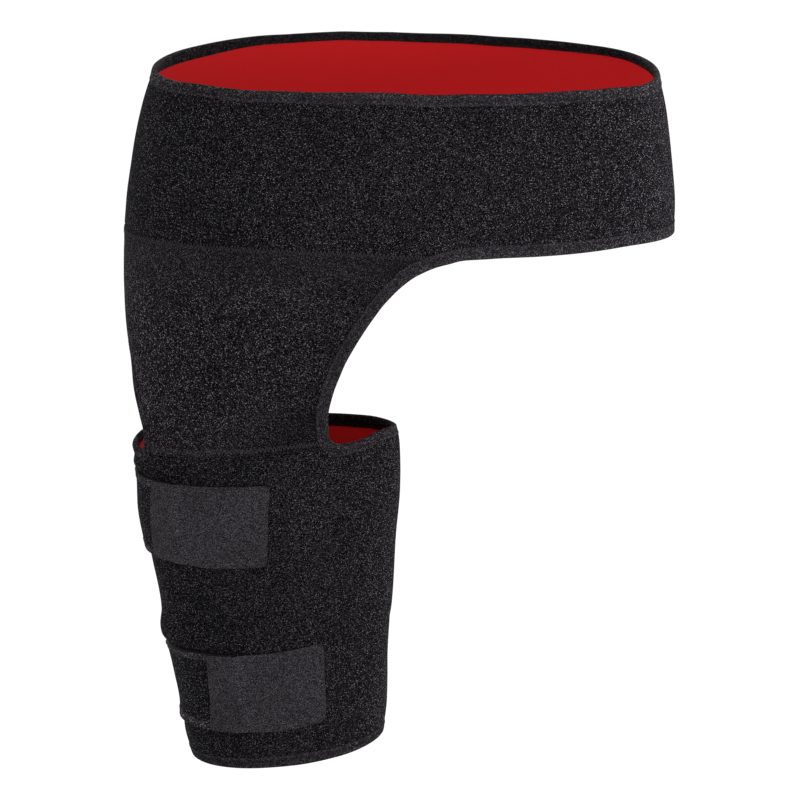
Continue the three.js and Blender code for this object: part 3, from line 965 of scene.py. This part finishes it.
top_stations = [(angle, belt_top(angle), 0, TOP_REACH(angle)[0], REACH) for angle in run(0, 360, BELT_TURN / 2)]
top_tape, top_flat, top_path, top_in = fold_tape(
    "waist_top_tape", top_stations, waist_tape, closed=True, fold_shade_of=front_fold_shade)
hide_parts("waist_top_binding")

# %% [markdown]
# ## Tape round the cut-out
# One long tape closes the whole cut-out. It starts on the hidden start of the wrap, goes up the panel's
# back edge, along the belt's bottom, down the panel's front edge and round the rim of the wrap to its end.
# Making it in one piece gives corners without joints, as on the real brace.

# %% Cut-out tape
WRAP_TURN, FULL_TURN = 9.0, 360
rim_back = [*run(WRAP_START - 1, 9, WRAP_TURN / 2), 16]
belt_foot = run(-86.4, -252, BELT_TURN / 2)
rim_front = run(130.5, WRAP_END, WRAP_TURN / 2)
cut_stations = [
    *((angle, wrap_top(angle), 0, EAR_REACH, REACH) for angle in rim_back),
    *((angle, height, 0, INNER_REACH, REACH) for angle, height in reversed(BACK_EDGE)),
    *((angle, belt_bottom(angle), 0, INNER_REACH, WIDE_REACH) for angle in belt_foot),
    *((angle - FULL_TURN, height, 0, INNER_REACH, WIDE_REACH) for angle, height in front_rows),
    *((angle - FULL_TURN, wrap_top(angle), float(wrap_rise(angle)), RIM_REACH, NARROW_REACH)
      for angle in rim_front),
]
cut_tape, cut_flat, cut_path, cut_in = fold_tape("cut_out_tape", cut_stations, cut_tape_finish)
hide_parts("cut_out_binding")

# %% [markdown]
# ## Tape on the wrap's foot and end
# The foot's tape goes once round. The end's tape runs down the lapping end and is folded over the other
# two tapes, so it is eased a little wider.

# %% Thigh tapes
hem_turns = run(WRAP_END, LAP_END, WRAP_TURN)
hem_stations = [(angle, wrap_foot(angle), float(wrap_rise(angle)), INNER_REACH, REACH) for angle in hem_turns]
hem_tape, hem_flat, hem_path, hem_in = fold_tape("thigh_bottom_tape", hem_stations, thigh_tape)
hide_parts("thigh_bottom_binding")

OVER = TAPE + 0.1
end_heights = np.linspace(wrap_top(WRAP_END) + 2 * OVER, wrap_foot(WRAP_END) - 2 * OVER, 12)
end_stations = [(WRAP_END, height, LAP_RISE, INNER_REACH, REACH) for height in end_heights]
end_tape, end_flat, end_path, end_in = fold_tape("thigh_end_tape", end_stations, thigh_tape, ease=EASE + OVER)
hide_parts("thigh_end_binding")

# %% [markdown]
# ## Straps and hook tabs
# Each strap is a soft tongue sewn to the wrap's lapping end. It comes forward over that end and carries a
# stiffer tab of hook tape, pressed onto the pile. Both are laid on the form like the other cloth, lifted
# by what lies under them. The edges are tables, because straps that are pulled tight don't run level.

# %% Strap sizes
TONGUE, TAB = 2.8, 1.5
STRAP_START = -63.0
UPPER_EDGES = [
    # angle, top, bottom
    (-63, -222, -283), (-30, -225, -286), (0, -229, -287.6), (12, -230.6, -289.8), (24, -231.8, -291),
    (38, -232.8, -292.8), (48, -233.8, -295.2), (57, -234.8, -297), (75, -235.6, -297.6), (92, -236, -297.6),
]
LOWER_EDGES = [
    # angle, top, bottom
    (-63, -360, -416), (-30, -360.5, -417.5), (0, -361, -418.8), (28, -361.4, -420.6), (45, -362.2, -421.2),
    (65, -363.8, -421.6), (84, -363.3, -422), (95, -362.4, -421.2), (105, -361, -419.9), (118, -359.2, -417.8),
]
# Each turn is an angle; the tab's start and end are given at its foot and at its top.
UPPER_TURNS = {"tab": (24.8, 29.5), "tongue_end": 42.0, "end": (88.0, 90.2)}
LOWER_TURNS = {"tab": (46.0, 50.5), "tongue_end": 65.0, "end": (113.5, 113.5)}


def tongue_lift(angle):
    """Lift of a tongue's inner face: over the lap, over the tape on its end, then down onto the wrap."""
    over_tape = ramp(angle, LAP_END - 12, LAP_END - 7)
    down = ramp(angle, LAP_END + 1.5, LAP_END + 22)
    return (LAP_RISE + PROUD * over_tape) * (1 - down) + GAP


def tab_lift(angle, tongue_end):
    """Lift of a tab's inner face: on the tongue, then down onto the wrap."""
    return GAP + (TONGUE + GAP) * (1 - ramp(angle, tongue_end + 0.4, tongue_end + 7))


print("a tongue stands", round(float(tongue_lift(STRAP_START)) + TONGUE, 1), "mm off the form at its root")

# %% [markdown]
# ## Cutting the straps
# A strap is a strip between its two edges. The tongue's long sides have a pressed hem, which stands up a
# little and is lighter. The corners are rounded by drawing the edges in near each end, which keeps the
# grid in even rows where cutting the corners off would not.

# %% Make both straps
HEM, HEM_RISE, HEM_NAP = 6.0, 0.35, 1.6
ROOT_CORNER, END_CORNER, SEWN_CORNER = 2.0, 5.0, 2.5
TAB_PAINTED_LIGHT, TAB_PAINTED_SHADE, TAB_SIDE = 0.07, 0.165, (30, 112)


def drawn_in(distance, radius):
    """How far an edge is drawn in at a distance from a rounded end."""
    inside = np.clip(radius - distance, 0, radius)
    return radius - np.sqrt(np.maximum(radius**2 - inside**2, 0))


def hem_share(distance):
    """1 on the pressed hem, 0 further in from the edge."""
    return 1 - ramp(distance, HEM - 0.8, HEM + 0.4)


def strip(edge_at, starts, ends, lift_of, corners, hem):
    """The placing function of a strip between two edges; starts and ends are angles at its foot and top."""
    line = np.linspace(np.mean(starts), np.mean(ends), 60)
    length = length_of(form_point(line, edge_at(line).mean(-1)))

    def place(u, v):
        start = starts[0] + (starts[1] - starts[0]) * v
        end = ends[0] + (ends[1] - ends[0]) * v
        angle = start + (end - start) * u
        top, bottom = np.moveaxis(edge_at(angle), -1, 0)
        draw = drawn_in(u * length, corners[0]) + drawn_in((1 - u) * length, corners[1])
        height = bottom + draw + (top - bottom - 2 * draw) * v
        return angle, height, lift_of(angle) + hem * hem_share(np.minimum(v, 1 - v) * (top - bottom))

    return place


def lay_strap(name, edges, turns):
    """Makes a tongue and its tab; returns them with their flat sizes and the edges' reader."""
    edge_at, tongue_end = smooth_reader(edges), turns["tongue_end"]
    tall = -np.diff(edge_at(0.0))[0]
    tongue_place = strip(edge_at, (STRAP_START,) * 2, (tongue_end,) * 2,
                         lambda angle: tongue_lift(angle) + TONGUE, (ROOT_CORNER, 0.0), HEM_RISE)
    tab_place = strip(edge_at, turns["tab"], turns["end"],
                      lambda angle: tab_lift(angle, tongue_end) + TAB, (SEWN_CORNER, END_CORNER), 0.0)
    tongue, tongue_flat = lay_cloth(
        name + "_tongue", strap_finish, 90, 60, tongue_place, TONGUE,
        nap_of=lambda _, v: HEM_NAP * hem_share(np.minimum(v, 1 - v) * tall), edge=edge_finish)
    # The tab carries painted light at its start and painted shade towards its front end, which evens out the
    # light that falls on it.
    tab, tab_flat = lay_cloth(
        name + "_tab", hook_finish, 130, 60, tab_place, TAB,
        nap_of=lambda angle, _: TAB_PAINTED_LIGHT - TAB_PAINTED_SHADE * ramp(angle, *TAB_SIDE), edge=edge_finish)
    soften(tongue, 1.2, 4)
    soften(tab, 0.45, 3)
    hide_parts(name + "_strap")
    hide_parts(name + "_hook_tab")
    return tongue, tongue_flat, tab, tab_flat, edge_at


upper = lay_strap("upper", UPPER_EDGES, UPPER_TURNS)
lower = lay_strap("lower", LOWER_EDGES, LOWER_TURNS)

# %% [markdown]
# ## Sewing
# A seam is a row of short raised threads. One thread is a small ball drawn out along the row; a helper
# repeats it at an even pitch on any path over the cloth and joins a whole row set into one mesh. Running
# stitches lie along the row, and the flat seams between the cloths are zigzags across it.

# %% Stitch helper
THREAD = 0.55


def place_key(co):
    """A number to sort places by, so that the ball comes out in the same order each time."""
    return round(100 * co.x + 10 * co.y + co.z, 4)


def make_thread_ball():
    """One thread to copy: a small ball, one unit across."""
    bm = bmesh.new()
    bmesh.ops.create_uvsphere(bm, u_segments=6, v_segments=4, radius=0.5)
    bmesh.ops.rotate(bm, verts=bm.verts, matrix=Matrix.Rotation(math.pi / 2, 3, "Y"))
    bm.verts.sort(key=lambda vert: place_key(vert.co))
    bm.faces.sort(key=lambda face: place_key(face.calc_center_median()))
    mesh = bpy.data.meshes.new("thread_ball")
    bm.to_mesh(mesh)
    bm.free()
    return mesh, np.array([vert.co for vert in mesh.vertices])


thread_ball, ball_points = make_thread_ball()


def even_spots(path, pitch):
    """Points, ways along and normals at an even pitch on a path of angle, height and lift."""
    read = smooth_reader(numbered(path))
    fine = np.linspace(0, len(path) - 1, 30 * len(path))
    line = spot(*np.moveaxis(read(fine), -1, 0))[0]
    along = np.concatenate([[0], np.cumsum(np.linalg.norm(np.diff(line, axis=0), axis=1))])
    even = np.arange(pitch / 2, along[-1], pitch)
    points, normals = spot(*np.moveaxis(read(np.interp(even, along, fine)), -1, 0))
    ahead = spot(*np.moveaxis(read(np.interp(even + 0.2, along, fine)), -1, 0))[0]
    back = spot(*np.moveaxis(read(np.interp(even - 0.2, along, fine)), -1, 0))[0]
    return points, unit(ahead - back), normals


def sew(path, pitch, length, slant=0.0):
    """Points of a row of threads; slant turns every other one by plus and minus that angle."""
    points, along, normals = even_spots(path, pitch)
    turn = np.radians(slant) * np.where(np.arange(len(points)) % 2, 1, -1)[:, None]
    way = along * np.cos(turn) + np.cross(normals, along) * np.sin(turn)
    across = np.cross(normals, way)
    size = np.array([length, THREAD, 0.8 * THREAD])
    x, y, z = ball_points.T[:, None, :, None] * size[:, None, None, None]
    return points[:, None] + x * way[:, None] + y * across[:, None] + z * normals[:, None]


def sew_piece(name, rows):
    """One mesh of threads from rows of path, pitch, length and slant."""
    places = np.concatenate([sew(*row) for row in rows])
    bm = bmesh.new()
    for _ in places:
        bm.from_mesh(thread_ball)
    put(bm, places.reshape(-1, 3))
    piece = show(name, bm, thread_finish)
    print(f"{name}: {len(places)} stitches")
    return piece


print("a thread has", len(thread_ball.polygons), "faces")

# %% [markdown]
# ## Stitching the tape down
# A row of running stitches holds each tape close to its free edge. The row is the tape's own path, moved in
# over the cloth and lifted onto the tape.

# %% Tape stitches
STITCH_BACK, STITCH_PITCH, STITCH = 1.1, 3.2, 2.4


def tape_row(path, inward):
    """A row of running stitches a little in from the free edge of a tape."""
    angle, height, lift, _, reach = np.moveaxis(path, -1, 0)
    angle, height = step_over(angle, height, inward, reach - STITCH_BACK)
    return [(np.stack([angle, height, lift + 0.1 + TAPE], -1)[::2], STITCH_PITCH, STITCH, 0.0)]


top_stitches = sew_piece("waist_top_stitches", tape_row(top_path, top_in))
cut_stitches = sew_piece("cut_out_stitches", tape_row(cut_path, cut_in))
hem_stitches = sew_piece("thigh_bottom_stitches", tape_row(hem_path, hem_in))
end_stitches = sew_piece("thigh_end_stitches", tape_row(end_path, end_in))

# %% [markdown]
# ## Flat seams
# Belt, panel and wrap meet edge to edge and are joined by a zigzag, which can stretch with the cloth. The
# wrap's seam has a second row of small stitches under it.

# %% Zigzag between belt, panel and wrap
ZIGZAG = {"pitch": 1.45, "length": 5.0, "slant": 68.0}
DOTS = {"pitch": 2.5, "length": 1.5, "slant": 0.0}
BELT_SEAM, WRAP_SEAM = (-74, 99), (27, 118)
ZIGZAG_UP, DOTS_UP = 4.3, 0.6


def seam_row(ends, height_of, kind):
    """A row of stitches between two angles at the heights of a seam."""
    path = [(angle, float(height_of(angle)), 0.05) for angle in run(*ends, 4.0)]
    return path, kind["pitch"], kind["length"], kind["slant"]


belt_seam = sew_piece("belt_seam_stitches", [seam_row(BELT_SEAM, belt_bottom, ZIGZAG)])
wrap_seam = sew_piece("wrap_seam_stitches", [
    seam_row(WRAP_SEAM, lambda angle: wrap_top(angle) + ZIGZAG_UP, ZIGZAG),
    seam_row(WRAP_SEAM, lambda angle: wrap_top(angle) + DOTS_UP, DOTS)])

# %% [markdown]
# ## Sewing the straps
# Two rows hold the tongue's hems. Upright rows go through the tab where it lies on the tongue, and two more
# hold the tongue's root on the lapping end.

# %% Strap stitches
def strap_rows(edge_at, turns):
    """Hem rows along the tongue, upright rows through the tab, and upright rows on the tongue's root."""
    rows = []
    start, tab, tongue_end = STRAP_START, max(turns["tab"]), turns["tongue_end"]
    for side, shift in ((0, -HEM + 1), (1, HEM - 1)):
        angles = run(start + 2, min(turns["tab"]) - 1.5, 3.0)
        heights = edge_at(angles)[:, side] + shift
        lifts = tongue_lift(angles) + TONGUE + HEM_RISE
        rows.append((np.stack([angles, heights, lifts], -1), 3.0, 2.2, 0.0))
    for angle in (tab + 1.6, tab + 4.4, tongue_end - 4.0, tongue_end - 1.2):
        top, bottom = edge_at(angle)
        lift = tab_lift(angle, tongue_end) + TAB
        rows.append(([(angle, height, lift) for height in run(top - 3, bottom + 3, 6)], 2.6, 2.0, 0.0))
    for angle in (start + 2, LAP_END - 14):
        top, bottom = edge_at(angle)
        lift = tongue_lift(angle) + TONGUE
        rows.append(([(angle, height, lift) for height in run(top - 5, bottom + 5, 6)], 3.0, 2.2, 0.0))
    return rows


upper_stitches = sew_piece("upper_strap_stitches", strap_rows(upper[-1], UPPER_TURNS))
lower_stitches = sew_piece("lower_strap_stitches", strap_rows(lower[-1], LOWER_TURNS))

# %% [markdown]
# ## What each piece was cut from
# Cloth hardly stretches, so each piece keeps the flat size that it was cut to; the flat lengths of the belt
# and the wrap are printed here. The panel is a curved cut.


print("cut from a sheet", belt_flat[1], "m long for the belt and", wrap_flat[1], "m for the wrap")

# %% [markdown]
# ## Floor
# The brace hangs, so the floor is only a pale ground well below it that sends soft light up.

# %% Pale floor
FLOOR_BELOW, FLOOR_SIZE, FLOOR_GREY = 0.25, 60.0, 0.9


def make_floor():
    """A large pale square below the brace."""
    bm = bmesh.new()
    bmesh.ops.create_grid(bm, x_segments=1, y_segments=1, size=FLOOR_SIZE / 2)
    bmesh.ops.translate(bm, verts=bm.verts, vec=(0, 0, cad_box[0].z - FLOOR_BELOW))
    mesh = bpy.data.meshes.new("floor")
    bm.to_mesh(mesh)
    bm.free()
    material, _, skin = finish("pale_floor", Roughness=0.9, Specular_IOR_Level=0.0)
    skin.inputs["Base Color"].default_value = (FLOOR_GREY, FLOOR_GREY, FLOOR_GREY, 1)
    mesh.materials.append(material)
    floor = bpy.data.objects.new("floor", mesh)
    bpy.context.scene.collection.objects.link(floor)


make_floor()
print("floor", FLOOR_BELOW, "m below the brace")

# %% [markdown]
# ## Light
# The room is plain white light, a little stronger on the right of the brace. That side light fades upwards,
# and the one soft lamp stands level with the brace, so neither shines down into the loop and the red lining
# stays even.

# %% Room and lamp
LOOK_AT = Vector((0.0, 0.0, -0.18855))
KEY_PLACE, KEY_SIZE, KEY_POWER = Vector((2.8, -1.8, 0.05)), 1.0, 60
ROOM_LIGHT, SIDE_LIGHT = 1.15, 0.5

lamp = bpy.data.lights.new("key", "AREA")
lamp.size, lamp.energy = KEY_SIZE, KEY_POWER
key = bpy.data.objects.new("key", lamp)
key.location = KEY_PLACE
key.rotation_euler = (LOOK_AT - KEY_PLACE).to_track_quat("-Z", "Y").to_euler()
bpy.context.scene.collection.objects.link(key)

world = bpy.data.worlds.new("white_studio")
world.use_nodes = True
sky = world.node_tree
room = sky.nodes["Background"].inputs
room["Color"].default_value = (1, 1, 1, 1)
way = add_node(sky, "SeparateXYZ", Vector=add_node(sky, "TexCoord").outputs["Generated"]).outputs
sideways = maths(sky, "MULTIPLY", way["X"], maths(sky, "SUBTRACT", 1.0, way["Z"]))
sky.links.new(maths(sky, "MULTIPLY_ADD", sideways, SIDE_LIGHT, ROOM_LIGHT), room["Strength"])
bpy.context.scene.world = world
bpy.context.scene.view_settings.view_transform = "Standard"
print("lamp of", KEY_POWER, "W in a room of strength", ROOM_LIGHT)

# %% [markdown]
# ## Camera
# The camera is far away with a long lens, which gives the flat view of a catalogue picture, and looks down a
# little, so that the lining shows over the belt's front edge.

# %% Long lens
VIEW_DISTANCE, VIEW_ELEVATION, VIEW_WIDTH = 6.0, 11.9, 0.6
lens = bpy.data.cameras.new("camera")
lens.lens = lens.sensor_width * VIEW_DISTANCE / VIEW_WIDTH
camera = bpy.data.objects.new("camera", lens)
tip = math.radians(VIEW_ELEVATION)
camera.location = LOOK_AT + VIEW_DISTANCE * Vector((0, -math.cos(tip), math.sin(tip)))
camera.rotation_euler = (math.pi / 2 - tip, 0, 0)
bpy.context.scene.collection.objects.link(camera)
bpy.context.scene.camera = camera
print("camera at", [round(x, 3) for x in camera.location], "lens", round(lens.lens), "mm")
